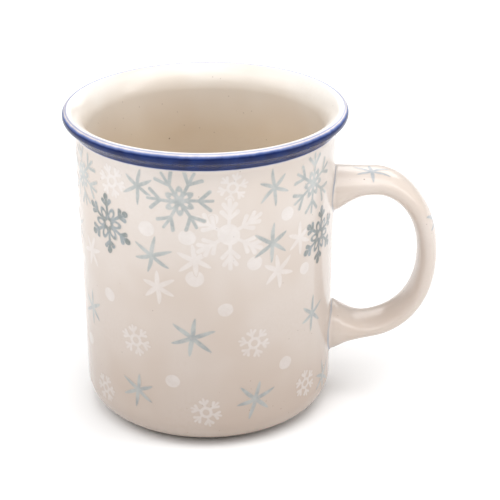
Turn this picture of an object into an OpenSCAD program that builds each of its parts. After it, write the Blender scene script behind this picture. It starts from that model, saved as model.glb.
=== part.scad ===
// Straight-sided stoneware mug with a rolled-out lip, a bare foot ring and one loop handle.
// Millimetres, +Z up. The cup's axis is the Z axis, the table is at Z = 0 and the handle is
// towards +X. Sizes are those of the finished mug, over its glaze.

/* [Cup] */
// Height from the table to the top of the lip
mug_height = 97; // [70:0.5:130]
// Outside diameter of the wall, just under the lip
wall_diameter = 78.9; // [60:0.1:110]
// How much smaller the outside diameter is at the bottom of the wall
wall_taper = 2.4; // [0:0.1:8]
// Thickness of the wall near the floor
wall_thickness = 4.8; // [3.6:0.1:8]
// Thickness of the floor
floor_thickness = 5; // [3:0.1:10]
// Radius of the outside edge between the wall and the foot
bottom_rounding = 9.1; // [4:0.1:16]
// Radius inside, between the wall and the floor
inside_rounding = 8; // [3:0.1:16]

/* [Lip] */
// How far the lip stands out past the wall
lip_overhang = 3.55; // [1.5:0.05:6]
// Thickness of the round lip
lip_thickness = 3.6; // [2.4:0.1:6]
// Radius of the hollow under the lip
lip_hollow = 5; // [3.5:0.1:10]

/* [Foot] */
// Outside diameter of the bare foot ring
foot_diameter = 57; // [40:0.5:90]
// Width of the bare foot ring
foot_width = 3.2; // [1.5:0.1:8]
// Height of the foot ring under the bottom rounding
foot_height = 0.6; // [0.3:0.1:3]
// Depth of the recess inside the foot ring
recess_depth = 1.2; // [0.4:0.1:4]

/* [Glaze] */
// Thickness of the fired glaze
glaze_thickness = 0.4; // [0.2:0.05:1]
// Where the blue band stops on the round of the lip, in degrees above level
band_top_angle = 60; // [20:1:80]
// Where the blue band stops in the hollow under the lip, in degrees above level
band_foot_angle = 20; // [4:1:45]
// How far round the bottom rounding the glaze goes, in degrees below level
glaze_stop_angle = 76; // [40:1:86]

/* [Handle] */
// Drop from the top of the lip to the middle of the upper joint
upper_joint_drop = 27; // [22:0.1:50]
// Drop from the top of the lip to the middle of the handle's highest stretch
crest_drop = 25; // [18:0.1:45]
// Distance from the wall to the middle of the highest stretch
crest_reach = 12.4; // [6:0.1:24]
// Distance from the wall to the middle of the grip
grip_reach = 28.9; // [18:0.1:45]
// Distance from the wall to the middle of the lowest stretch
low_reach = 7.2; // [4:0.1:20]
// Height of the middle of the lowest stretch above the table
low_height = 23.2; // [16:0.1:40]
// Height of the middle of the lower joint above the table
lower_joint_height = 23.6; // [16:0.1:40]
// Thickness of the upper arm
upper_thickness = 7.2; // [4:0.1:12]
// Thickness of the grip
grip_thickness = 6; // [4:0.1:12]
// Thickness of the lower arm
lower_thickness = 5.6; // [4:0.1:12]
// Width of both arms
arm_width = 16.2; // [8:0.1:26]
// Width of the grip
grip_width = 13.6; // [8:0.1:24]
// Thickness of the slip layer that joins the handle to the cup
slip_thickness = 0.8; // [0.3:0.1:2]

/* [Joint flares] */
// How far from the wall the handle starts to widen
flare_length = 11; // [4:0.5:20]
// What the flare adds above and below at the upper joint
upper_flare = 2.6; // [0:0.1:6]
// What the flare adds above and below at the lower joint
lower_flare = 4.3; // [0:0.1:7]
// What the flare adds on each side at both joints
side_flare = 1.5; // [0:0.1:4]

/* [Hidden] */
$fn = 96;
arc_steps = 14;
foot_edge = 0.4;

// Cup profile as [radius, height]. Circles: lip, hollow under it, bottom and inside roundings.
wall_r = wall_diameter / 2;
lip_r = lip_thickness / 2;
lip_c = [wall_r + lip_overhang - lip_r, mug_height - lip_r];
hollow_dx = lip_c[0] - wall_r - lip_hollow;
hollow_c = [wall_r + lip_hollow, lip_c[1] - sqrt(pow(lip_hollow + lip_r, 2) - hollow_dx * hollow_dx)];
hollow_end = atan2(lip_c[1] - hollow_c[1], lip_c[0] - hollow_c[0]);
inner_hollow = lip_hollow + lip_thickness;

base_wall_r = wall_r - wall_taper / 2;
bottom_c = [base_wall_r - bottom_rounding, foot_height + bottom_rounding];
floor_top = recess_depth + floor_thickness;
inside_c = [base_wall_r - wall_thickness - inside_rounding, floor_top + inside_rounding];
outer_tilt = wall_tilt(bottom_c, bottom_rounding, hollow_c, lip_hollow);
inner_tilt = wall_tilt(inside_c, inside_rounding, hollow_c, inner_hollow);

foot_r = foot_diameter / 2;
foot_inner_r = foot_r - foot_width;

// Handle: centre line in the XZ plane. Curve shares set how full each bend is.
joint_gap = 0.4;
joint_x = wall_r + joint_gap;
upper_joint = [joint_x, mug_height - upper_joint_drop];
crest = [wall_r + crest_reach, mug_height - crest_drop];
low = [wall_r + low_reach, low_height];
grip = [wall_r + grip_reach, (crest[1] + low[1]) / 2];
lower_joint = [joint_x, lower_joint_height];
upper_joint_slope = 0.4;
crest_share = 0.4;
grip_up_share = 0.68;
grip_down_share = 0.6;
low_share = 0.62;
joint_share = 0.4;
bury = 5;
joint_steps = 10;
bend_steps = 18;
section_sides = 28;
section_power = 2.2;

// Tilt from upright of the straight line that touches circle a on its outside and circle b,
// above it, on its axis side.
function wall_tilt(a, ra, b, rb) = acos((ra + rb) / norm(b - a)) - atan2(b[1] - a[1], b[0] - a[0]);

function arc(c, r, a0, a1) = [
    for (i = [0:arc_steps])
    let (a = a0 + (a1 - a0) * i / arc_steps)
    c + r * [cos(a), sin(a)]
];

function reversed(points) = [for (i = [len(points) - 1:-1:0]) points[i]];

// A coat of glaze between the finished surface and the clay under it.
function coat(outside, under) = concat(outside, reversed(under));

// Each stretch of the profile at a depth under the finished surface.
function rounding_and_wall(depth, from_angle, to_angle) = concat(
    arc(bottom_c, bottom_rounding - depth, from_angle, -outer_tilt),
    arc(hollow_c, lip_hollow + depth, 180 - outer_tilt, to_angle)
);
function band_stretch(depth) = concat(
    arc(hollow_c, lip_hollow + depth, 180 - band_foot_angle, hollow_end),
    arc(lip_c, lip_r - depth, hollow_end - 180, band_top_angle)
);
function inside_stretch(depth) = concat(
    arc(lip_c, lip_r - depth, band_top_angle, hollow_end),
    arc(hollow_c, inner_hollow - depth, hollow_end, 180 - inner_tilt),
    arc(inside_c, inside_rounding + depth, -inner_tilt, -90),
    [[0, floor_top - depth]]
);
function outer_side(depth) = concat(
    rounding_and_wall(depth, -90, 180 - band_foot_angle),
    band_stretch(depth)
);

clay_foot = [
    [0, recess_depth + glaze_thickness],
    [foot_inner_r, recess_depth + glaze_thickness],
    [foot_inner_r, foot_edge],
    [foot_inner_r + foot_edge, 0],
    [foot_r - foot_edge, 0],
    [foot_r, foot_edge],
    [foot_r, foot_height + glaze_thickness]
];

module filled_cup(depth) {
    rotate_extrude()
        polygon(concat([[0, foot_height + depth]], outer_side(depth), [[0, lip_c[1] + lip_r - depth]]));
}

function bezier(p, t) =
    pow(1 - t, 3) * p[0] + 3 * t * pow(1 - t, 2) * p[1] + 3 * t * t * (1 - t) * p[2] + pow(t, 3) * p[3];
function bezier_way(p, t) =
    3 * pow(1 - t, 2) * (p[1] - p[0]) + 6 * t * (1 - t) * (p[2] - p[1]) + 3 * t * t * (p[3] - p[2]);
function smooth(t) = t * t * (3 - 2 * t);
function unit(v) = v / norm(v);

arm_run = crest[0] - joint_x;
low_run = low[0] - joint_x;
upper_arm = [
    upper_joint,
    upper_joint + joint_share * arm_run * [1, upper_joint_slope],
    crest - joint_share * arm_run * [1, 0],
    crest
];
upper_bend = [
    crest,
    crest + crest_share * (grip[0] - crest[0]) * [1, 0],
    grip + grip_up_share * (crest[1] - grip[1]) * [0, 1],
    grip
];
lower_bend = [
    grip,
    grip - grip_down_share * (grip[1] - low[1]) * [0, 1],
    low + low_share * (grip[0] - low[0]) * [1, 0],
    low
];
lower_arm = [
    low,
    low - joint_share * low_run * [1, 0],
    lower_joint + joint_share * low_run * [1, 0],
    lower_joint
];

// How strong the flare is at a distance from the wall: 1 at the wall, 0 past the flare's length.
function flare(x) = pow(min(1, max(0, 1 - (x - joint_x) / flare_length)), 2);

// One station: [centre, way across the handle's thickness, half thickness, half width]. The
// sections turn upright towards the wall, so that the handle meets it with level sides.
function station(curve, t, thickness, width, joint_flare) =
    let (
        c = bezier(curve, t),
        f = flare(c[0]),
        way = unit(bezier_way(curve, t)),
        across = unit((1 - f) * [-way[1], way[0]] + f * [0, sign(way[0])])
    )
    [c, across, thickness / 2 + joint_flare * f, width / 2 + side_flare * f];

function blend(a, b, t) = a + (b - a) * smooth(t);

// A joint's station carried level into the cup, with the same section.
function buried(s) = [s[0] - [bury, 0], s[1], s[2], s[3]];

arm_stations = concat(
    [for (i = [0:joint_steps - 1])
        station(upper_arm, i / joint_steps, upper_thickness, arm_width, upper_flare)],
    [for (i = [0:bend_steps - 1])
        let (t = i / bend_steps)
        station(upper_bend, t, blend(upper_thickness, grip_thickness, t),
            blend(arm_width, grip_width, t), 0)],
    [for (i = [0:bend_steps - 1])
        let (t = i / bend_steps)
        station(lower_bend, t, blend(grip_thickness, lower_thickness, t),
            blend(grip_width, arm_width, t), lower_flare)],
    [for (i = [0:joint_steps])
        station(lower_arm, i / joint_steps, lower_thickness, arm_width, lower_flare)]
);
last_station = len(arm_stations) - 1;
stations = concat(
    [buried(arm_stations[0])],
    arm_stations,
    [buried(arm_stations[last_station])]
);

function fuller(c) = sign(c) * pow(abs(c), 2 / section_power);
function section(s, depth) = [
    for (k = [0:section_sides - 1])
    let (
        a = 360 * (k + 0.5) / section_sides,
        out = (s[2] - depth) * fuller(sin(a)),
        side = (s[3] - depth) * fuller(cos(a))
    )
    [s[0][0] + out * s[1][0], side, s[0][1] + out * s[1][1]]
];

// The whole handle loop at a depth under its finished surface, buried at both ends in the cup.
module handle_loop(depth) {
    n = section_sides;
    last = len(stations) - 1;
    points = [for (s = stations) each section(s, depth)];
    sides = [
        for (i = [0:last - 1], k = [0:n - 1])
        let (a = i * n + k, b = i * n + (k + 1) % n, c = a + n, d = b + n)
        each [[a, d, b], [a, c, d]]
    ];
    start_cap = [for (k = [1:n - 2]) [0, k, k + 1]];
    end_cap = [for (k = [1:n - 2]) [last * n, last * n + k + 1, last * n + k]];
    polyhedron(points = points, faces = concat(sides, start_cap, end_cap), convexity = 4);
}

// The slip layer at one joint: the part of the loop that lies against the cup's clay.
module slip_joint(bottom, top) {
    intersection() {
        handle_loop(glaze_thickness);
        difference() {
            filled_cup(glaze_thickness - slip_thickness);
            filled_cup(glaze_thickness);
        }
        translate([0, -arm_width, bottom])
            cube([wall_r + lip_overhang, 2 * arm_width, top - bottom]);
    }
}

module stoneware_cup() {
    color("#d9cdbd")
        rotate_extrude()
            polygon(concat(
                clay_foot,
                outer_side(glaze_thickness),
                inside_stretch(glaze_thickness)
            ));
}

module base_glaze() {
    color("#e6ddd0")
        translate([0, 0, recess_depth])
            cylinder(r = foot_inner_r, h = glaze_thickness);
}

module liner_glaze() {
    color("#e8dcc8")
        rotate_extrude()
            polygon(coat(inside_stretch(0), inside_stretch(glaze_thickness)));
}

module cobalt_rim_band() {
    color("#27346e")
        rotate_extrude()
            polygon(coat(band_stretch(0), band_stretch(glaze_thickness)));
}

module outer_glaze() {
    band_foot = 180 - band_foot_angle;
    color("#e9e0d6")
        difference() {
            rotate_extrude()
                polygon(coat(
                    rounding_and_wall(0, -glaze_stop_angle, band_foot),
                    rounding_and_wall(glaze_thickness, -glaze_stop_angle, band_foot)
                ));
            handle_loop(0);
        }
}

module handle() {
    color("#d9cdbd")
        difference() {
            handle_loop(glaze_thickness);
            filled_cup(glaze_thickness - slip_thickness);
        }
}

module handle_glaze() {
    color("#e9e0d6")
        difference() {
            handle_loop(0);
            handle_loop(glaze_thickness);
            filled_cup(glaze_thickness);
        }
}

module upper_slip_joint() {
    color("#cbbba6")
        slip_joint(grip[1], mug_height);
}

module lower_slip_joint() {
    color("#cbbba6")
        slip_joint(0, grip[1]);
}

stoneware_cup();
handle();
upper_slip_joint();
lower_slip_joint();
liner_glaze();
cobalt_rim_band();
outer_glaze();
handle_glaze();
base_glaze();
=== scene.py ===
# A glazed stoneware mug around its CAD frame. Metres, +Z up, the handle towards +X.
# The clay and the slip are the CAD nodes. The glaze coats are rebuilt here with fine curves, and
# the painted flakes, stars and dots lie on them as thin patches with soft edges.
import math

import bpy
import numpy as np
from mathutils import Euler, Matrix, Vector


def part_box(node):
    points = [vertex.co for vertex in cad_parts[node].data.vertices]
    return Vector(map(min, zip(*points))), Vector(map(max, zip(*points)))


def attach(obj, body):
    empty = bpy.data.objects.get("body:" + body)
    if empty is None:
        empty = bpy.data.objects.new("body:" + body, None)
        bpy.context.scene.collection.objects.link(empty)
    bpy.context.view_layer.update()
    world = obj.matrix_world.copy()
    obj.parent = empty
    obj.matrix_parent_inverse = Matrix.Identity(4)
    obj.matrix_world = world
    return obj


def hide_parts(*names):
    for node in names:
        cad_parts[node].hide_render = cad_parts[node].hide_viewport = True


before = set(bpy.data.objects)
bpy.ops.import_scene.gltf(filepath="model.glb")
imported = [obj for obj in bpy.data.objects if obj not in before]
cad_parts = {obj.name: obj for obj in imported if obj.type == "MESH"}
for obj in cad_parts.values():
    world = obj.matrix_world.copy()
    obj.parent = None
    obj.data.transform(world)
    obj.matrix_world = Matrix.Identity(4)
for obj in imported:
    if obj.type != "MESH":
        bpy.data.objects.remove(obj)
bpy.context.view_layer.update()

MM = 0.001
ROOT = "root"

# --- Sizes that the frame gives -------------------------------------------------------------

liner_low, liner_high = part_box("liner_glaze")
band_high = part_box("cobalt_rim_band")[1]
base_low, base_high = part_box("base_glaze")

mug_height = liner_high.z
lip_outer_r = band_high.x
glaze_thickness = base_high.z - base_low.z
recess_depth = base_low.z
recess_r = base_high.x
floor_top = liner_low.z + glaze_thickness

# --- Sizes that only the part's own profile gives -------------------------------------------

lip_overhang = 3.55 * MM
lip_r = 1.8 * MM
lip_hollow = 5.0 * MM
wall_taper = 2.4 * MM
wall_thickness = 4.8 * MM
bottom_rounding = 9.1 * MM
inside_rounding = 8.0 * MM
foot_height = 0.6 * MM
band_top_angle = 60
band_foot_angle = 20
glaze_stop_angle = 76

wall_r = lip_outer_r - lip_overhang
base_wall_r = wall_r - wall_taper / 2
lip_c = np.array([lip_outer_r - lip_r, mug_height - lip_r])
hollow_dx = lip_c[0] - wall_r - lip_hollow
hollow_rise = math.sqrt((lip_hollow + lip_r) ** 2 - hollow_dx ** 2)
hollow_c = np.array([wall_r + lip_hollow, lip_c[1] - hollow_rise])
hollow_end = math.degrees(math.atan2(*(lip_c - hollow_c)[::-1]))
inner_hollow = lip_hollow + 2 * lip_r
bottom_c = np.array([base_wall_r - bottom_rounding, foot_height + bottom_rounding])
inside_c = np.array([base_wall_r - wall_thickness - inside_rounding, floor_top + inside_rounding])

# --- Handle sizes ---------------------------------------------------------------------------

joint_gap = 0.4 * MM
upper_joint_drop = 27 * MM
crest_reach = 12.4 * MM
crest_drop = 25 * MM
grip_reach = 28.9 * MM
low_reach = 7.2 * MM
low_height = 23.2 * MM
lower_joint_height = 23.6 * MM
upper_thickness = 7.2 * MM
grip_thickness = 6.0 * MM
lower_thickness = 5.6 * MM
arm_width = 16.2 * MM
grip_width = 13.6 * MM
flare_length = 11 * MM
upper_flare = 2.6 * MM
lower_flare = 4.3 * MM
side_flare = 1.5 * MM
section_power = 2.2

# How steeply the centre line leaves the upper joint, and how full each of its bends is: how far
# a curve's control point lies from its end, as a share of the way to the curve's other end
upper_joint_slope = 0.4
joint_share = 0.4
crest_share = 0.4
grip_up_share = 0.68
grip_down_share = 0.6
low_share = 0.62

# The seams: how far the loop runs on into the cup, the fillet's radius, the levels of the two
# rings that lie under the wall's surface, and how many stations a seam is sought among
bury = 4.4 * MM
seam_fillet = 1.3 * MM
seam_levels = [-1.2 * MM, -0.4 * MM]
seam_reach = 60

joint_x = wall_r + joint_gap
upper_joint = np.array([joint_x, mug_height - upper_joint_drop])
crest = np.array([wall_r + crest_reach, mug_height - crest_drop])
low = np.array([wall_r + low_reach, low_height])
grip = np.array([wall_r + grip_reach, (crest[1] + low[1]) / 2])
lower_joint = np.array([joint_x, lower_joint_height])


# --- Profile --------------------------------------------------------------------------------

def wall_tilt(a, ra, b, rb):
    """Tilt from upright of the line that touches circle a on its outside and b on its axis side."""
    way = b - a
    reach = math.hypot(way[0], way[1])
    return math.degrees(math.acos((ra + rb) / reach) - math.atan2(way[1], way[0]))


outer_tilt = wall_tilt(bottom_c, bottom_rounding, hollow_c, lip_hollow)
inner_tilt = wall_tilt(inside_c, inside_rounding, hollow_c, inner_hollow)


def arc(centre, radius, start, end, steps=28):
    """Points [radius, height] along an arc, with its angles in degrees."""
    angles = np.radians(np.linspace(start, end, steps + 1))
    return centre + radius * np.stack([np.cos(angles), np.sin(angles)], axis=1)


def outside_wall(depth):
    return np.concatenate([
        arc(bottom_c, bottom_rounding - depth, -glaze_stop_angle, -outer_tilt),
        arc(hollow_c, lip_hollow + depth, 180 - outer_tilt, 180 - band_foot_angle),
    ])


def band_round(depth):
    return np.concatenate([
        arc(hollow_c, lip_hollow + depth, 180 - band_foot_angle, hollow_end),
        arc(lip_c, lip_r - depth, hollow_end - 180, band_top_angle),
    ])


def inside_wall(depth):
    return np.concatenate([
        arc(lip_c, lip_r - depth, band_top_angle, hollow_end),
        arc(hollow_c, inner_hollow - depth, hollow_end, 180 - inner_tilt),
        arc(inside_c, inside_rounding + depth, -inner_tilt, -90),
        [[0, floor_top - depth]],
    ])


def along(points):
    """Distance along a line of points, from its first point."""
    steps = np.linalg.norm(np.diff(points, axis=0), axis=1)
    return np.concatenate([[0], np.cumsum(steps)])


# --- Mesh helpers ---------------------------------------------------------------------------

def add_object(name, points, faces, attributes, material, sharp_angle=40):
    """A smooth-shaded mesh object that rides on the mug. attributes is {name: values}."""
    mesh = bpy.data.meshes.new(name)
    mesh.from_pydata(np.asarray(points).tolist(), [], faces)
    for key, values in attributes.items():
        made = mesh.attributes.new(key, "FLOAT", "POINT")
        made.data.foreach_set("value", np.asarray(values, np.float32))
    mesh.materials.append(material)
    mesh.shade_smooth()
    mesh.set_sharp_from_angle(angle=math.radians(sharp_angle))
    made = bpy.data.objects.new(name, mesh)
    bpy.context.scene.collection.objects.link(made)
    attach(made, ROOT)
    return made


def revolve(name, outline, shares, material, segments=288):
    """A closed outline of [radius, height] turned round the Z axis. shares is its bleed values."""
    following = np.roll(outline, -1, axis=0)
    area = np.sum(outline[:, 0] * following[:, 1] - following[:, 0] * outline[:, 1])
    if area < 0:
        outline = outline[::-1]
        shares = shares[::-1]
    turns = 2 * np.pi * np.arange(segments) / segments
    points = []
    values = []
    rings = []
    for (radius, height), share in zip(outline, shares):
        first = len(points)
        if radius < 1e-7:
            points.append((0, 0, height))
            values.append(share)
            rings.append([first] * segments)
            continue
        points.extend((radius * math.cos(t), radius * math.sin(t), height) for t in turns)
        values.extend([share] * segments)
        rings.append(list(range(first, first + segments)))
    faces = []
    for ring, above in zip(rings, rings[1:] + rings[:1]):
        for i in range(segments):
            j = (i + 1) % segments
            corners = [ring[i], ring[j], above[j], above[i]]
            face = list(dict.fromkeys(corners))
            if len(face) > 2:
                faces.append(face)
    return add_object(name, points, faces, {"bleed": values}, material)


def coat(name, outside, under, bleed, material):
    """A coat of glaze between two profile lines. bleed is one value a point of each line."""
    outline = np.concatenate([outside, under[::-1]])
    return revolve(name, outline, np.concatenate([bleed, bleed[::-1]]), material)


# --- Handle ---------------------------------------------------------------------------------

def bezier(p, t):
    t = t[:, None]
    return (1 - t) ** 3 * p[0] + 3 * t * (1 - t) ** 2 * p[1] + 3 * t * t * (1 - t) * p[2] + t ** 3 * p[3]


def bezier_way(p, t):
    t = t[:, None]
    way = (1 - t) ** 2 * (p[1] - p[0]) + 2 * t * (1 - t) * (p[2] - p[1]) + t * t * (p[3] - p[2])
    return way / np.linalg.norm(way, axis=1)[:, None]


def smooth(t):
    return t * t * (3 - 2 * t)


def handle_curves():
    """The centre line as four curves, from the upper joint round to the lower one."""
    arm_run = crest[0] - joint_x
    low_run = low[0] - joint_x
    level = np.array([1, 0])
    up = np.array([0, 1])
    upper_arm = [upper_joint, upper_joint + joint_share * arm_run * np.array([1, upper_joint_slope]),
                 crest - joint_share * arm_run * level, crest]
    upper_bend = [crest, crest + crest_share * (grip[0] - crest[0]) * level,
                  grip + grip_up_share * (crest[1] - grip[1]) * up, grip]
    lower_bend = [grip, grip - grip_down_share * (grip[1] - low[1]) * up,
                  low + low_share * (grip[0] - low[0]) * level, low]
    lower_arm = [low, low - joint_share * low_run * level,
                 lower_joint + joint_share * low_run * level, lower_joint]
    return upper_arm, upper_bend, lower_bend, lower_arm


def stations(curve, t, thickness, width, joint_flare):
    """Cross-sections along a curve. Columns: centre x and z, the way across the thickness x and z,
    half thickness, half width."""
    centre = bezier(curve, t)
    way = bezier_way(curve, t)
    f = np.clip(1 - (centre[:, 0] - joint_x) / flare_length, 0, 1) ** 2
    upright = np.stack([np.zeros_like(f), np.sign(way[:, 0])], axis=1)
    across = np.stack([-way[:, 1], way[:, 0]], axis=1)
    across = (1 - f)[:, None] * across + f[:, None] * upright
    across /= np.linalg.norm(across, axis=1)[:, None]
    return np.column_stack([centre, across, thickness / 2 + joint_flare * f, width / 2 + side_flare * f])


def handle_stations(steps=44):
    t = np.linspace(0, 1, steps + 1)
    share = smooth(t)
    upper_arm, upper_bend, lower_bend, lower_arm = handle_curves()
    thick = [upper_thickness, grip_thickness, lower_thickness]
    rows = [
        stations(upper_arm, t, thick[0], arm_width, upper_flare)[:-1],
        stations(upper_bend, t, thick[0] + (thick[1] - thick[0]) * share,
                 arm_width + (grip_width - arm_width) * share, 0)[:-1],
        stations(lower_bend, t, thick[1] + (thick[2] - thick[1]) * share,
                 grip_width + (arm_width - grip_width) * share, lower_flare)[:-1],
        stations(lower_arm, t, thick[2], arm_width, lower_flare),
    ]
    return np.concatenate(rows)


def buried(station, steps=10):
    """A joint's station carried level into the cup, deepest first."""
    rows = np.repeat(station[None], steps, axis=0)
    rows[:, 0] -= bury * (1 - np.arange(steps) / steps)
    return rows


def fuller(c):
    return np.sign(c) * np.abs(c) ** (2 / section_power)


def sections(rows, sides):
    """Surface points of each station, and the outward way at each of them."""
    angles = 2 * np.pi * (np.arange(sides) + 0.5) / sides
    out = rows[:, 4:5] * fuller(np.sin(angles))
    side = rows[:, 5:6] * fuller(np.cos(angles))
    points = np.stack([rows[:, 0:1] + out * rows[:, 2:3], side, rows[:, 1:2] + out * rows[:, 3:4]], axis=2)
    lean = np.sign(out) * np.abs(out / rows[:, 4:5]) ** (section_power - 1) / rows[:, 4:5]
    spread = np.sign(side) * np.abs(side / rows[:, 5:6]) ** (section_power - 1) / rows[:, 5:6]
    ways = np.stack([lean * rows[:, 2:3], spread, lean * rows[:, 3:4]], axis=2)
    return points, ways / np.linalg.norm(ways, axis=2)[:, :, None]


side_line = outside_wall(0)
side_s = along(side_line)
side_r = side_line[:, 0]
side_z = side_line[:, 1]
side_way = np.gradient(side_line, side_s, axis=0)
side_tilt = np.arctan2(-side_way[:, 0], side_way[:, 1])


def wall_radius(z):
    return np.interp(z, side_z, side_r)


def seam_rings(points, ways):
    """Rings at even steps round the fillet between the handle and the wall, deepest first.
    Gives the rings and how far each is along the fillet, from its foot on the wall."""
    gap = np.hypot(points[:, :, 0], points[:, :, 1]) - wall_radius(points[:, :, 2])
    turn = np.radians(np.linspace(0, 90, 15))
    levels = np.concatenate([seam_levels, seam_fillet * (1 - np.cos(turn))])
    pushes = np.concatenate([[seam_fillet, seam_fillet], seam_fillet * (1 - np.sin(turn))])
    paths = np.concatenate([seam_levels, seam_fillet * turn])
    rings = np.zeros((len(levels), points.shape[1], 3))
    for k in range(points.shape[1]):
        rising = np.maximum.accumulate(gap[:, k])
        at = np.stack([np.interp(levels, rising, points[:, k, c]) for c in range(3)], axis=1)
        way = np.stack([np.interp(levels, rising, ways[:, k, c]) for c in range(3)], axis=1)
        way[:, 0] = 0
        at += pushes[:, None] * way / np.linalg.norm(way, axis=1)[:, None]
        radius = wall_radius(at[:, 2]) + levels
        at[:, 0] = np.sqrt(radius ** 2 - at[:, 1] ** 2)
        rings[:, k] = at
    return rings, paths


def handle_glaze(material, sides=72):
    """The whole loop with a soft fillet at both seams. The seam attribute is the distance from the
    fillet's foot on the wall, in mm."""
    rows = handle_stations()
    clear_x = wall_r + seam_fillet + 0.5 * MM
    away = rows[rows[:, 0] > clear_x]
    head = np.concatenate([buried(rows[0]), rows[:seam_reach]])
    tail = np.concatenate([buried(rows[-1]), rows[:-seam_reach:-1]])
    upper, upper_paths = seam_rings(*sections(head, sides))
    lower, lower_paths = seam_rings(*sections(tail, sides))
    middle = sections(away, sides)[0]
    rings = np.concatenate([upper, middle, lower[::-1]])
    far = np.full(len(middle), 10 * MM)
    paths = np.concatenate([upper_paths, far, lower_paths[::-1]])
    points = rings.reshape(-1, 3)
    faces = []
    for i in range(len(rings) - 1):
        for k in range(sides):
            a = i * sides + k
            b = i * sides + (k + 1) % sides
            faces.append([a, a + sides, b + sides, b])
    faces.append(list(range(sides)))
    faces.append([len(points) - 1 - k for k in range(sides)])
    seam = np.repeat(paths, sides) / MM
    return add_object("handle_glaze_coat", points, faces, {"seam": seam}, material, 60)


# --- Painted motifs, as signed distances on a unit disc -------------------------------------

def capsule(x, y, x0, y0, x1, y1, r0, r1):
    """A round-ended stroke from (x0, y0) to (x1, y1) that goes from r0 to r1."""
    dx = x1 - x0
    dy = y1 - y0
    t = np.clip(((x - x0) * dx + (y - y0) * dy) / (dx * dx + dy * dy), 0, 1)
    return np.hypot(x - x0 - t * dx, y - y0 - t * dy) - (r0 + (r1 - r0) * t)


def oval(x, y, cx, a, b):
    """A filled oval on the arm's own axis."""
    return (np.hypot((x - cx) / a, y / b) - 1) * min(a, b)


def ring_of(distance, half_stroke):
    return np.abs(distance) - half_stroke


def brush(x, y, start, end, half_width, bend):
    """One touch of a pointed brush along the arm, slim at its root and fattest at two fifths."""
    t = np.clip((x - start) / (end - start), 0, 1)
    fat = half_width * 1.96 * t ** 0.4 * (1 - t) ** 0.6
    off = y - bend * t * t
    over = np.maximum(np.maximum(start - x, x - end), 0)
    return np.hypot(over, np.abs(off)) - fat


def fold(x, y, turn, arms=6):
    """The nearest arm's own axes, and which arm it is."""
    angle = np.arctan2(y, x) - turn
    arm = np.round(angle * arms / (2 * np.pi))
    rest = angle - arm * 2 * np.pi / arms
    radius = np.hypot(x, y)
    return radius * np.cos(rest), radius * np.sin(rest), arm.astype(int) % arms


def union(*distances):
    return np.minimum.reduce(distances)


def dark_flake(x, y, turn, rng):
    ax, ay, _ = fold(x, y, turn)
    gx, gy, _ = fold(x, y, turn + np.pi / 6)
    side = np.abs(ay)
    return union(
        ring_of(np.hypot(x, y) - 0.16, 0.040),
        capsule(ax, side, 0.18, 0, 0.80, 0, 0.044, 0.056),
        oval(ax, ay, 0.885, 0.125, 0.105),
        capsule(ax, side, 0.60, 0.0, 0.755, 0.165, 0.052, 0.076),
        ring_of(oval(gx, gy, 0.345, 0.175, 0.10), 0.036),
    )


def pale_flake(x, y, turn, rng):
    ax, ay, _ = fold(x, y, turn)
    gx, gy, _ = fold(x, y, turn + np.pi / 6)
    side = np.abs(ay)
    return union(
        np.hypot(x, y) - 0.08,
        capsule(ax, side, 0.1, 0, 1.02, 0, 0.052, 0.044),
        capsule(ax, side, 0.60, 0, 0.93, 0.30, 0.050, 0.056),
        ring_of(oval(gx, gy, 0.26, 0.16, 0.085), 0.034),
        capsule(gx, np.abs(gy), 0.36, 0, 0.49, 0, 0.06, 0.01),
    )


def pale_star(x, y, turn, rng):
    lengths = rng.uniform(0.84, 1.04, 6)
    bends = rng.uniform(-0.10, 0.10, 6)
    ax, ay, arm = fold(x, y, turn)
    ax = ax / lengths[arm]
    return union(
        brush(ax, ay, -0.06, 1.02, 0.094, bends[arm]),
        np.hypot(x, y) - 0.05,
    )


def white_flake(x, y, turn, rng):
    ax, ay, _ = fold(x, y, turn)
    side = np.abs(ay)
    return union(
        np.hypot(x, y) - 0.31,
        capsule(ax, side, 0.3, 0, 1.02, 0, 0.045, 0.060),
        capsule(ax, side, 0.46, 0.01, 0.68, 0.22, 0.040, 0.062),
        capsule(ax, side, 0.66, 0.01, 0.90, 0.17, 0.045, 0.060),
    )


def white_rosette(x, y, turn, rng):
    ax, ay, _ = fold(x, y, turn)
    side = np.abs(ay)
    return union(
        ring_of(np.hypot(x, y) - 0.31, 0.085),
        capsule(ax, side, 0.36, 0, 0.96, 0, 0.060, 0.060),
        capsule(ax, side, 0.56, 0.02, 0.80, 0.23, 0.065, 0.085),
    )


def white_star(x, y, turn, rng):
    lengths = rng.uniform(0.85, 1.03, 6)
    bends = rng.uniform(-0.08, 0.08, 6)
    ax, ay, arm = fold(x, y, turn)
    return union(
        brush(ax / lengths[arm], ay, 0.0, 1.02, 0.125, bends[arm]),
        np.hypot(x, y) - 0.13,
    )


def white_dot(x, y, turn, rng):
    return oval(x, y, 0, 0.97, 0.9)


# --- Where the motifs lie -------------------------------------------------------------------

def on_cup(angle, height):
    """Places a flat patch on the outside of the cup: u to its right, v up."""
    start = np.interp(height, side_z, side_s)

    def place(u, v, lift):
        s = start + v
        r = np.interp(s, side_s, side_r)
        z = np.interp(s, side_s, side_z)
        tilt = np.interp(s, side_s, side_tilt)
        turn = math.radians(angle) + u / r
        r = r + lift * np.cos(tilt)
        return np.stack([r * np.cos(turn), r * np.sin(turn), z + lift * np.sin(tilt)], axis=-1)

    return place


loop_rows = handle_stations()
loop_s = along(loop_rows[:, :2])


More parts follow.
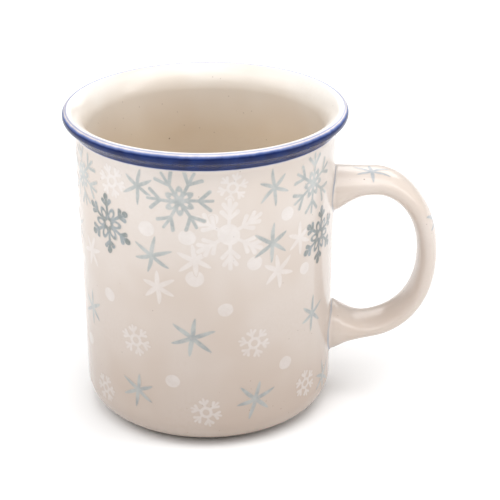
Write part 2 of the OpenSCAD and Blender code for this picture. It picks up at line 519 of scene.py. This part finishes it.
def on_handle(share, middle_y=0.0):
    """Places a flat patch on the outer side of the handle: u along it, v across its width."""
    start = share * loop_s[-1]

    def surface(s, y):
        row = [np.interp(s, loop_s, loop_rows[:, c]) for c in range(6)]
        full = np.clip(1 - np.abs(y / row[5]) ** section_power, 0, 1) ** (1 / section_power)
        out = row[4] * full
        return np.stack([row[0] + out * row[2], y, row[1] + out * row[3]], axis=-1)

    def place(u, v, lift):
        s = start + u
        y = middle_y + v
        step = 0.02 * MM
        along_s = surface(s + step, y) - surface(s - step, y)
        along_y = surface(s, y + step) - surface(s, y - step)
        way = np.cross(along_s, along_y)
        way /= -np.linalg.norm(way, axis=-1)[..., None]
        return surface(s, y) + lift * way

    return place


# The paint fades over soft_edge, and each patch reaches patch_depth into the glaze
soft_edge = 0.5 * MM
patch_depth = 0.05 * MM


class Patches:
    """Thin closed patches of one family of motifs, gathered into one piece. Each family stands
    a little higher on the glaze than the one it may overlap."""

    def __init__(self, name, shape, lift, cell=0.21 * MM):
        self.name = name
        self.shape = shape
        self.lift = lift
        self.cell = cell
        self.rng = np.random.default_rng(sum(map(ord, name)))
        self.points = []
        self.ink = []
        self.faces = []

    def add(self, place, radius, turn=0.0, room=1.0):
        """room is how far up from its centre the motif may reach before it is cut off."""
        count = int(math.ceil(1.12 * radius / self.cell))
        line = np.arange(-count, count + 1) * self.cell
        u, v = np.meshgrid(line, line, indexing="ij")
        phase = self.rng.uniform(0, 2 * np.pi, 4)
        wave = 2.6 / radius
        wobble = 0.022 * radius
        wu = u + wobble * np.sin(wave * v + phase[0]) + 0.5 * wobble * np.sin(2.3 * wave * v + phase[1])
        wv = v + wobble * np.sin(wave * u + phase[2]) + 0.5 * wobble * np.sin(2.3 * wave * u + phase[3])
        distance = radius * self.shape(wu / radius, wv / radius, turn, self.rng) - soft_edge / 2
        distance = np.maximum(distance, v - room)
        self.fill(u, v, distance, place)

    def fill(self, u, v, distance, place):
        """A closed slab over the cells inside the outline, with its rim moved onto the outline."""
        inside = distance < 0
        cells = inside[:-1, :-1] | inside[1:, :-1] | inside[:-1, 1:] | inside[1:, 1:]
        used = np.zeros_like(inside)
        for di in (0, 1):
            for dj in (0, 1):
                used[di:used.shape[0] - 1 + di, dj:used.shape[1] - 1 + dj] |= cells
        du, dv = np.gradient(distance, self.cell)
        steep = np.maximum(du * du + dv * dv, 0.2)
        move = np.where(inside, 0, np.clip(distance / steep, 0, 0.9 * self.cell))
        top = place(u - move * du, v - move * dv, self.lift)[used]
        under = place(u - move * du, v - move * dv, -patch_depth)[used]
        order = np.full(inside.shape, -1)
        order[used] = np.arange(used.sum())
        i, j = np.nonzero(cells)
        quads = np.stack([order[i, j], order[i + 1, j], order[i + 1, j + 1], order[i, j + 1]], axis=1)
        first = len(self.points)
        count = len(top)
        self.points.extend(top.tolist())
        self.points.extend(under.tolist())
        ink = np.clip(-distance / soft_edge, 0, 1)[used]
        self.ink.extend(ink.tolist())
        self.ink.extend(ink.tolist())
        self.faces.extend((quads + first).tolist())
        self.faces.extend((quads[:, ::-1] + first + count).tolist())
        edges = np.concatenate([quads[:, [k, (k + 1) % 4]] for k in range(4)])
        keys = set(map(tuple, edges.tolist()))
        for a, b in edges.tolist():
            if (b, a) not in keys:
                self.faces.append([first + b, first + a, first + count + a, first + count + b])

    def build(self, material):
        return add_object(self.name, self.points, self.faces, {"ink": self.ink}, material)


# --- Materials ------------------------------------------------------------------------------

def srgb(red, green, blue):
    """A colour given as the eye sees it, 0 to 255, as the shader needs it."""
    values = [c / 255 for c in (red, green, blue)]
    return [c / 12.92 if c <= 0.04045 else ((c + 0.055) / 1.055) ** 2.4 for c in values] + [1]


def node(tree, kind, inputs=None, **settings):
    made = tree.nodes.new("ShaderNode" + kind)
    for key, value in settings.items():
        setattr(made, key, value)
    for key, value in (inputs or {}).items():
        if isinstance(value, bpy.types.NodeSocket):
            tree.links.new(value, made.inputs[key])
        else:
            made.inputs[key].default_value = value
    return made


def mix_colour(tree, factor, a, b, blend="MIX"):
    return node(tree, "Mix", {0: factor, 6: a, 7: b}, data_type="RGBA", blend_type=blend).outputs[2]


def ramp(tree, value, low, high, to_low=0.0, to_high=1.0, soft=True):
    """A value carried from one range to another and held there."""
    kind = "SMOOTHSTEP" if soft else "LINEAR"
    rows = {"Value": value, "From Min": low, "From Max": high, "To Min": to_low, "To Max": to_high}
    return node(tree, "MapRange", rows, interpolation_type=kind).outputs["Result"]


def maths(tree, operation, *values):
    return node(tree, "Math", dict(enumerate(values)), operation=operation).outputs[0]


def noise(tree, place, scale, detail=3.0, rough=0.5):
    rows = {"Vector": place, "Scale": scale, "Detail": detail, "Roughness": rough}
    return node(tree, "TexNoise", rows).outputs["Fac"]


def attribute(tree, name):
    return node(tree, "Attribute", attribute_name=name).outputs["Fac"]


def new_material(name):
    made = bpy.data.materials.new(name)
    made.use_nodes = True
    return made, made.node_tree, made.node_tree.nodes["Principled BSDF"]


def specks(tree, place, scale, size, share):
    """Small round iron specks: one in each cell of a Voronoi pattern, in a share of the cells."""
    cells = node(tree, "TexVoronoi", {"Vector": place, "Scale": scale})
    reach = size * scale
    spot = ramp(tree, cells.outputs["Distance"], 0.45 * reach, reach, 1.0, 0.0)
    pick = node(tree, "SeparateColor", {0: cells.outputs["Color"]}).outputs[0]
    chosen = maths(tree, "LESS_THAN", pick, share)
    return maths(tree, "MULTIPLY", spot, chosen)


# Painted shade: the cream glaze gets a darker colour at the foot, where less light falls low on the mug.
SHADED_FOOT_CREAM = srgb(175, 160, 149)
HEAD_CREAM = srgb(224, 216, 210)
# Painted shade on the handle: its own copy of the glaze's darkening towards the foot, lighter low down
# than the cup's, as the handle catches more light.
SHADED_LOOP_LOW_CREAM = srgb(197, 183, 172)
LOOP_HIGH_CREAM = srgb(220, 211, 204)
# Painted shade inside the cup: the liner is darker and warmer deep down than near the lip.
SHADED_DEEP_LINER = srgb(211, 196, 176)
LIP_LINER = srgb(224, 219, 213)
WARMTH = srgb(248, 244, 240)
SPECK = srgb(112, 90, 80)
COBALT = srgb(8, 26, 74)
CLOUDY_COBALT = srgb(14, 38, 94)
# Pale blue where the cobalt is thin. Along the top of the lip it is also a painted highlight.
THIN_COBALT_AND_HIGHLIGHT = srgb(104, 122, 176)
# The seam line's colour: partly a blue-grey brushed line, partly painted shade in the crease where the
# handle meets the wall.
SEAM_BLUE_AND_SHADE = srgb(130, 142, 156)

# Roughness of the glaze: its glossier and its duller patches. The glaze on the handle and inside
# mirrors the lights less sharply.
SHINE = 0.07
DULL = 0.13
SOFT_SHINE = 0.17
SOFT_DULL = 0.26
GLAZE_IOR = 1.46


def shaded_glaze_colour(tree, place, low=SHADED_FOOT_CREAM, high=HEAD_CREAM, start=0.0, end=mug_height):
    """Cream glaze, from one colour low down to another at the lip: the lower one darker, as painted shade
    where less light falls.
    Over it slow patches of warmth, a fine mottle and sparse specks."""
    height = node(tree, "SeparateXYZ", {0: place}).outputs["Z"]
    # Painted shade: the colour darkens from the top of the ramp down to its foot.
    base = mix_colour(tree, ramp(tree, height, start, end, soft=False), low, high)
    patches = ramp(tree, noise(tree, place, 38, 2), 0.35, 0.68)
    mottle = ramp(tree, noise(tree, place, 900, 4), 0.3, 0.7, 0.0, 0.3)
    warmed = mix_colour(tree, maths(tree, "MAXIMUM", patches, mottle), (1, 1, 1, 1), WARMTH)
    base = mix_colour(tree, 1.0, base, warmed, "MULTIPLY")
    large = specks(tree, place, 150, 0.34 * MM, 0.45)
    small = specks(tree, place, 420, 0.24 * MM, 0.24)
    strong = maths(tree, "MULTIPLY", large, 0.75)
    faint = maths(tree, "MULTIPLY", small, 0.42)
    seen = maths(tree, "MAXIMUM", strong, faint)
    return mix_colour(tree, seen, base, SPECK)


def finish_glaze(tree, shader, place, colour, ripple_strength=0.2, shine=SHINE, dull=DULL):
    """The gloss that all glazed pieces share: a slight ripple and a few duller patches."""
    ripple = noise(tree, place, 130, 2)
    orange_peel = noise(tree, place, 1400, 2)
    height = maths(tree, "ADD", ripple, maths(tree, "MULTIPLY", orange_peel, 0.05))
    bump = node(tree, "Bump", {"Strength": ripple_strength, "Distance": 0.12 * MM, "Height": height})
    rough = ramp(tree, noise(tree, place, 70, 3), 0.3, 0.7, shine, dull)
    tree.links.new(colour, shader.inputs["Base Color"])
    tree.links.new(rough, shader.inputs["Roughness"])
    tree.links.new(bump.outputs[0], shader.inputs["Normal"])
    shader.inputs["IOR"].default_value = GLAZE_IOR


def bleeding_glaze(name, base_of, back_reach, shine=SHINE, dull=DULL):
    """The glaze of the cup, with cobalt bleeding in where bleed says so, and further by the share
    back_reach at the back of the rim. base_of gives the colour without the cobalt."""
    made, tree, shader = new_material(name)
    place = node(tree, "TexCoord").outputs["Object"]
    ragged = maths(tree, "MULTIPLY_ADD", noise(tree, place, 420, 3), 0.3, -0.15)
    depth = node(tree, "SeparateXYZ", {0: place}).outputs["Y"]
    back = ramp(tree, depth, 0.0, lip_outer_r, 1.0, 1.0 + back_reach)
    amount = maths(tree, "ADD", maths(tree, "MULTIPLY", attribute(tree, "bleed"), back), ragged)
    blue = ramp(tree, amount, 0.25, 1.3, 0.0, 0.85)
    colour = mix_colour(tree, blue, base_of(tree, place), THIN_COBALT_AND_HIGHLIGHT)
    finish_glaze(tree, shader, place, colour, shine=shine, dull=dull)
    return made


# The handle's glaze colour, with the handle's own painted shade from low to high.
def loop_shaded_colour(tree, place):
    return shaded_glaze_colour(tree, place, SHADED_LOOP_LOW_CREAM, LOOP_HIGH_CREAM)


# Painted shade: the liner goes from its darker deep colour to the lip colour between 0.78 and 0.99 of the
# mug's height.
def liner_shaded_colour(tree, place):
    return shaded_glaze_colour(tree, place, SHADED_DEEP_LINER, LIP_LINER, 0.78 * mug_height, 0.99 * mug_height)


def cobalt_glaze():
    """Deep blue that thins to a paler blue and then to the cream along both its edges. Along the top edge
    the paler blue is partly a painted highlight.
    """
    made, tree, shader = new_material("cobalt_glaze")
    place = node(tree, "TexCoord").outputs["Object"]
    cloud = ramp(tree, noise(tree, place, 260, 4), 0.3, 0.7)
    deep = mix_colour(tree, cloud, COBALT, CLOUDY_COBALT)
    ragged = maths(tree, "MULTIPLY_ADD", noise(tree, place, 420, 3), 0.24, -0.12)
    amount = maths(tree, "ADD", attribute(tree, "bleed"), ragged)
    thin = mix_colour(tree, ramp(tree, amount, 0.0, 0.4), shaded_glaze_colour(tree, place), THIN_COBALT_AND_HIGHLIGHT)
    colour = mix_colour(tree, ramp(tree, amount, 0.2, 0.75), thin, deep)
    finish_glaze(tree, shader, place, colour, 0.0, 0.20, 0.25)
    shader.inputs["Specular IOR Level"].default_value = 0.28
    return made


def handle_coat():
    """The handle's glaze, with a thin blue-grey line round each seam: partly a brushed line, partly
    painted shade in the crease.
    """
    made, tree, shader = new_material("handle_cream_glaze")
    place = node(tree, "TexCoord").outputs["Object"]
    seam = attribute(tree, "seam")
    shift = maths(tree, "MULTIPLY_ADD", noise(tree, place, 160, 3), 1.0, -0.5)
    moved = maths(tree, "ADD", seam, shift)
    off_centre = maths(tree, "ABSOLUTE", maths(tree, "SUBTRACT", moved, 0.55))
    line = ramp(tree, off_centre, 0.18, 0.62, 1.0, 0.0)
    strength = ramp(tree, noise(tree, place, 90, 3), 0.25, 0.7, 0.25, 0.85)
    amount = maths(tree, "MULTIPLY", line, strength)
    colour = mix_colour(tree, amount, loop_shaded_colour(tree, place), SEAM_BLUE_AND_SHADE)
    finish_glaze(tree, shader, place, colour, shine=SOFT_SHINE, dull=SOFT_DULL)
    return made


def pigment(name, thin, thick, cover, scale, base_of=shaded_glaze_colour, shine=SHINE, dull=DULL):
    """Colour painted in the glaze: ink fades at a patch's edge, a noise pools it, and it darkens towards
    the foot as painted shade, the same falling-off of light that the glaze's colour paints."""
    made, tree, shader = new_material(name)
    place = node(tree, "TexCoord").outputs["Object"]
    pool = ramp(tree, noise(tree, place, scale, 3), 0.3, 0.7)
    paint = mix_colour(tree, pool, thin, thick)
    height = node(tree, "SeparateXYZ", {0: place}).outputs["Z"]
    # Painted shade: the paint's colour is multiplied down to 0.72 at the foot.
    shade = ramp(tree, height, 0.0, mug_height, 0.72, 1.0, soft=False)
    grey = node(tree, "CombineColor", {0: shade, 1: shade, 2: shade}).outputs[0]
    paint = mix_colour(tree, 1.0, paint, grey, "MULTIPLY")
    wear = ramp(tree, noise(tree, place, 5 * scale, 3), 0.25, 0.6, 0.78, 1.0)
    ink = maths(tree, "MULTIPLY", ramp(tree, attribute(tree, "ink"), 0.0, 0.85), wear)
    amount = maths(tree, "MULTIPLY", ink, cover)
    colour = mix_colour(tree, amount, base_of(tree, place), paint)
    finish_glaze(tree, shader, place, colour, shine=shine, dull=dull)
    return made


def bare_clay():
    """Unglazed stoneware: sandy, matt, with grains and darker iron spots."""
    made, tree, shader = new_material("bare_clay")
    place = node(tree, "TexCoord").outputs["Object"]
    grain = noise(tree, place, 1500, 5)
    patches = ramp(tree, noise(tree, place, 60, 3), 0.3, 0.7)
    base = mix_colour(tree, patches, srgb(214, 198, 178), srgb(200, 182, 160))
    base = mix_colour(tree, ramp(tree, grain, 0.35, 0.7, 0.0, 0.35), base, srgb(176, 156, 132))
    iron = maths(tree, "MULTIPLY", specks(tree, place, 500, 0.14 * MM, 0.3), 0.7)
    base = mix_colour(tree, iron, base, SPECK)
    bump = node(tree, "Bump", {"Strength": 0.5, "Distance": 0.08 * MM, "Height": grain})
    tree.links.new(base, shader.inputs["Base Color"])
    tree.links.new(ramp(tree, grain, 0.3, 0.7, 0.72, 0.9), shader.inputs["Roughness"])
    tree.links.new(bump.outputs[0], shader.inputs["Normal"])
    return made


def slip_clay():
    """The finer, paler slip that joins the handle to the cup."""
    made, tree, shader = new_material("slip_clay")
    place = node(tree, "TexCoord").outputs["Object"]
    grain = noise(tree, place, 900, 4)
    base = mix_colour(tree, ramp(tree, grain, 0.3, 0.7), srgb(208, 192, 172), srgb(196, 178, 156))
    bump = node(tree, "Bump", {"Strength": 0.3, "Distance": 0.05 * MM, "Height": grain})
    tree.links.new(base, shader.inputs["Base Color"])
    tree.links.new(ramp(tree, grain, 0.3, 0.7, 0.65, 0.85), shader.inputs["Roughness"])
    tree.links.new(bump.outputs[0], shader.inputs["Normal"])
    return made


def floor_paper():
    """Plain white paper for the floor."""
    made, tree, shader = new_material("floor_paper")
    place = node(tree, "TexCoord").outputs["Object"]
    tone = ramp(tree, noise(tree, place, 3, 3), 0.3, 0.7)
    paper = mix_colour(tree, tone, srgb(246, 246, 246), srgb(243, 243, 243))
    tree.links.new(paper, shader.inputs["Base Color"])
    shader.inputs["Roughness"].default_value = 0.7
    shader.inputs["Specular IOR Level"].default_value = 0.2
    return made


# --- Glaze coats ----------------------------------------------------------------------------

cream = bleeding_glaze("cream_glaze", shaded_glaze_colour, 0.0)


def build_liner():
    outside = inside_wall(0)
    bleed = 1.1 * np.clip(1 - along(outside) / (1.5 * MM), 0, 1)
    glaze = bleeding_glaze("liner_glaze", liner_shaded_colour, 1.8, SOFT_SHINE, SOFT_DULL)
    made = coat("liner_glaze_coat", outside, inside_wall(glaze_thickness), bleed, glaze)
    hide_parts("liner_glaze")


def build_band():
    outside = band_round(0)
    s = along(outside)
    # The paler blue along the band's top reaches 1.9 mm: partly thin cobalt, partly a painted highlight
    # along the lip's top.
    bleed = np.clip(np.minimum(s / (0.6 * MM), (s[-1] - s) / (1.9 * MM)), 0, 1)
    made = coat("cobalt_lip_band", outside, band_round(glaze_thickness), bleed, cobalt_glaze())
    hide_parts("cobalt_rim_band")


def build_outer_glaze():
    outside = outside_wall(0)
    s = along(outside)
    bleed = np.clip(1 - (s[-1] - s) / (0.8 * MM), 0, 1) * 0.6
    made = coat("outer_glaze_coat", outside, outside_wall(glaze_thickness), bleed, cream)
    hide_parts("outer_glaze")


def build_base_glaze():
    """The glaze inside the foot ring, with a round edge where it pulls back from the clay."""
    edge_r = 0.3 * MM
    edge = arc(np.array([recess_r - edge_r, recess_depth + edge_r]), edge_r, -90, 0, 10)
    top = recess_depth + glaze_thickness
    outline = np.concatenate([[[0, recess_depth]], edge, [[recess_r, top], [0, top]]])
    made = revolve("base_glaze_disc", outline, np.zeros(len(outline)), cream)
    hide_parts("base_glaze")


def build_handle_glaze():
    made = handle_glaze(handle_coat())
    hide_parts("handle_glaze")


def dress_cad_nodes():
    clay = bare_clay()
    slip = slip_clay()
    for name in ("stoneware_cup", "handle"):
        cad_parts[name].material_slots[0].material = clay
    for name in ("upper_slip_joint", "lower_slip_joint"):
        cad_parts[name].material_slots[0].material = slip


# --- Painting -------------------------------------------------------------------------------
# Each motif on the cup is its angle round it, its height, its radius and, where it isn't left to
# chance, its turn. Angles are in degrees, from the handle, and -90 is the front. Heights and radii
# are in mm.

DARK_FLAKES = [(-137.5, 70.1, 9.4, 2), (-31, 62.6, 8.9, -6), (48, 71, 8.6, 12), (132, 64, 8.7, -8)]
PALE_FLAKES = [
    (-101.5, 81.7, 9.4, 30), (-37.5, 80.6, 8.8, -4), (-157.5, 81.1, 8.9, 12),
    (155, 78, 9.0, 14), (104, 80, 9.2, -4), (62, 55, 8.6, 8), (24, 80, 8.8, 20),
]
PALE_STARS = [
    (-120, 84.6, 5.7), (-114.5, 63.6, 6.4), (-60.5, 83.6, 5.7), (-61, 66.1, 6.4), (-97, 38.1, 7.1),
    (-124, 17.6, 6.1), (-69, 16.1, 6.6), (-36, 38.1, 6.0), (-155, 38.1, 6.1), (-23.5, 12.6, 5.6),
    (-170, 62, 6.2), (172, 20, 6.3), (150, 45, 6.5), (121, 84, 5.6), (110, 56, 6.2), (118, 18, 6.4),
    (84, 68, 6.3), (84, 37, 6.6), (62, 84, 5.5), (57, 15, 6.2), (38, 50, 5.9), (27, 30, 6.0),
]
WHITE_FLAKES = [(-80.5, 71.1, 10.5, 0), (-179, 72, 9.0, 10), (84, 83, 7.6, -8), (84, 53, 7.2, 16)]
WHITE_ROSETTES = [
    (-79, 85.6, 4.5), (-124, 34.6, 5.1), (-69.5, 35.1, 5.0), (-91.5, 13.1, 4.8), (-146, 13.1, 4.6),
    (-40, 15.1, 4.6), (-134, 84.1, 5.2), (178, 40, 5.0), (152, 15, 4.7), (122, 36, 5.1),
    (98, 14, 4.8), (60, 33, 5.0), (30, 14, 4.6), (140, 84, 4.6), (44, 84, 4.7),
]
WHITE_STARS = [
    (-112, 53.6, 5.8), (-95.5, 63.1, 5.8), (-58, 57.1, 5.8), (-46, 65.1, 5.3),
    (-152, 58, 5.6), (168, 60, 5.7), (128, 50, 5.6), (98, 66, 5.8), (68, 68, 5.5), (36, 62, 5.4),
]
WHITE_DOTS = [
    (-116.5, 71.8, 2.6), (-98.5, 70.4, 2.6), (-88, 76.1, 2.0), (-53.5, 74.4, 2.3), (-69.5, 61.1, 2.4),
    (-42.5, 54.6, 2.1), (-139, 46.6, 2.3), (-95.5, 57.4, 2.8), (-82.5, 47.1, 2.3), (-106.5, 23.1, 2.3),
    (-53.5, 25.6, 2.3), (-164, 52, 1.8), (-160, 26, 2.0), (172, 50, 1.8), (160, 67, 1.7), (140, 28, 2.0),
    (120, 73, 1.7), (104, 46, 1.9), (96, 25, 2.0), (92, 75, 1.7), (74, 24, 2.0), (50, 60, 1.8),
    (48, 42, 1.9), (42, 22, 2.0), (30, 68, 1.7),
]
# On the handle: share of the way round the loop, offset across it and radius, both in mm
HANDLE_STARS = [(0.122, -1.9, 5.6), (0.38, -1.2, 5.8), (0.60, 1.5, 5.6), (0.80, -0.5, 5.0)]


def paint(patches, rows, spread, material):
    """Adds each motif of a list and builds the piece. spread is how far a motif may be turned."""
    for row in rows:
        angle, height, radius = row[:3]
        turn = row[3] if len(row) > 3 else patches.rng.uniform(-spread, spread)
        room = side_s[-1] - np.interp(height * MM, side_z, side_s) - 0.1 * MM
        patches.add(on_cup(angle, height * MM), radius * MM, math.radians(90 + turn), room)
    return patches.build(material)


def paint_all():
    slate = pigment("slate_pigment", srgb(140, 153, 159), srgb(104, 117, 117), 0.88, 260)
    mist = pigment("mist_pigment", srgb(180, 187, 187), srgb(145, 156, 158), 0.80, 240)
    chalk = pigment("chalk_pigment", srgb(231, 228, 228), srgb(243, 241, 242), 0.35, 300)
    paint(Patches("dark_snowflakes", dark_flake, 0.060 * MM), DARK_FLAKES, 10, slate)
    paint(Patches("pale_snowflakes", pale_flake, 0.052 * MM), PALE_FLAKES, 10, mist)
    paint(Patches("pale_stars", pale_star, 0.044 * MM), PALE_STARS, 12, mist)
    loop_mist = pigment("loop_mist_pigment", srgb(172, 180, 186), srgb(140, 150, 158), 0.85, 240,
                        loop_shaded_colour, SOFT_SHINE, SOFT_DULL)
    loop_stars = Patches("handle_stars", pale_star, 0.030 * MM)
    for share, across, radius in HANDLE_STARS:
        loop_stars.add(on_handle(share, across * MM), radius * MM, loop_stars.rng.uniform(0, 1))
    loop_stars.build(loop_mist)
    paint(Patches("white_snowflakes", white_flake, 0.036 * MM), WHITE_FLAKES, 10, chalk)
    paint(Patches("white_rosettes", white_rosette, 0.030 * MM), WHITE_ROSETTES, 30, chalk)
    paint(Patches("white_stars", white_star, 0.024 * MM), WHITE_STARS, 20, chalk)
    paint(Patches("white_dots", white_dot, 0.018 * MM), WHITE_DOTS, 40, chalk)


# --- Floor, lights and camera ---------------------------------------------------------------

def build_floor():
    half = 6.0
    mesh = bpy.data.meshes.new("floor")
    corners = [(-half, -half, 0), (half, -half, 0), (half, half, 0), (-half, half, 0)]
    mesh.from_pydata(corners, [], [(0, 1, 2, 3)])
    mesh.materials.append(floor_paper())
    floor = bpy.data.objects.new("floor", mesh)
    bpy.context.scene.collection.objects.link(floor)


def add_light(name, place, aim, width, height, power):
    light = bpy.data.lights.new(name, "AREA")
    light.shape = "RECTANGLE"
    light.size = width
    light.size_y = height
    light.energy = power
    made = bpy.data.objects.new(name, light)
    made.location = place
    way = Vector(aim) - Vector(place)
    made.rotation_euler = way.to_track_quat("-Z", "Y").to_euler()
    bpy.context.scene.collection.objects.link(made)


def light_scene():
    world = bpy.data.worlds.new("studio")
    bpy.context.scene.world = world
    world.use_nodes = True
    world.node_tree.nodes["Background"].inputs["Color"].default_value = (1, 1, 1, 1)
    world.node_tree.nodes["Background"].inputs["Strength"].default_value = 0.45
    middle = (0, 0, mug_height / 2)
    add_light("key_softbox", (-0.18, -0.60, 0.85), middle, 0.75, 0.75, 3.8)
    add_light("left_softbox", (-0.72, -0.10, 0.66), middle, 0.7, 0.7, 3.0)
    add_light("right_softbox", (0.76, -0.18, 0.56), middle, 0.35, 0.7, 2.4)
    add_light("back_softbox", (0.15, 0.95, 0.50), middle, 0.9, 0.35, 2.2)
    add_light("top_softbox", (0.20, -0.05, 1.00), middle, 0.9, 0.9, 6.6)


camera_place = (0, -0.50313, 0.27218)
camera_pitch = 23.907
camera_yaw = 1.507
camera_roll = 0.229
camera_lens = 127.4


def place_camera():
    """In front of the cup and above it, looking down and slightly towards the handle."""
    camera = bpy.data.cameras.new("camera")
    camera.sensor_width = 36
    camera.lens = camera_lens
    camera.clip_start = 0.05
    camera.clip_end = 30
    made = bpy.data.objects.new("camera", camera)
    made.location = camera_place
    aim = Euler((math.radians(90 - camera_pitch), 0, math.radians(-camera_yaw))).to_matrix()
    roll = Euler((0, 0, math.radians(-camera_roll))).to_matrix()
    made.rotation_euler = (aim @ roll).to_euler()
    bpy.context.scene.collection.objects.link(made)
    bpy.context.scene.camera = made


build_liner()
build_band()
build_outer_glaze()
build_base_glaze()
build_handle_glaze()
dress_cad_nodes()
paint_all()
build_floor()
light_scene()
place_camera()
bpy.context.scene.view_settings.view_transform = "Standard"
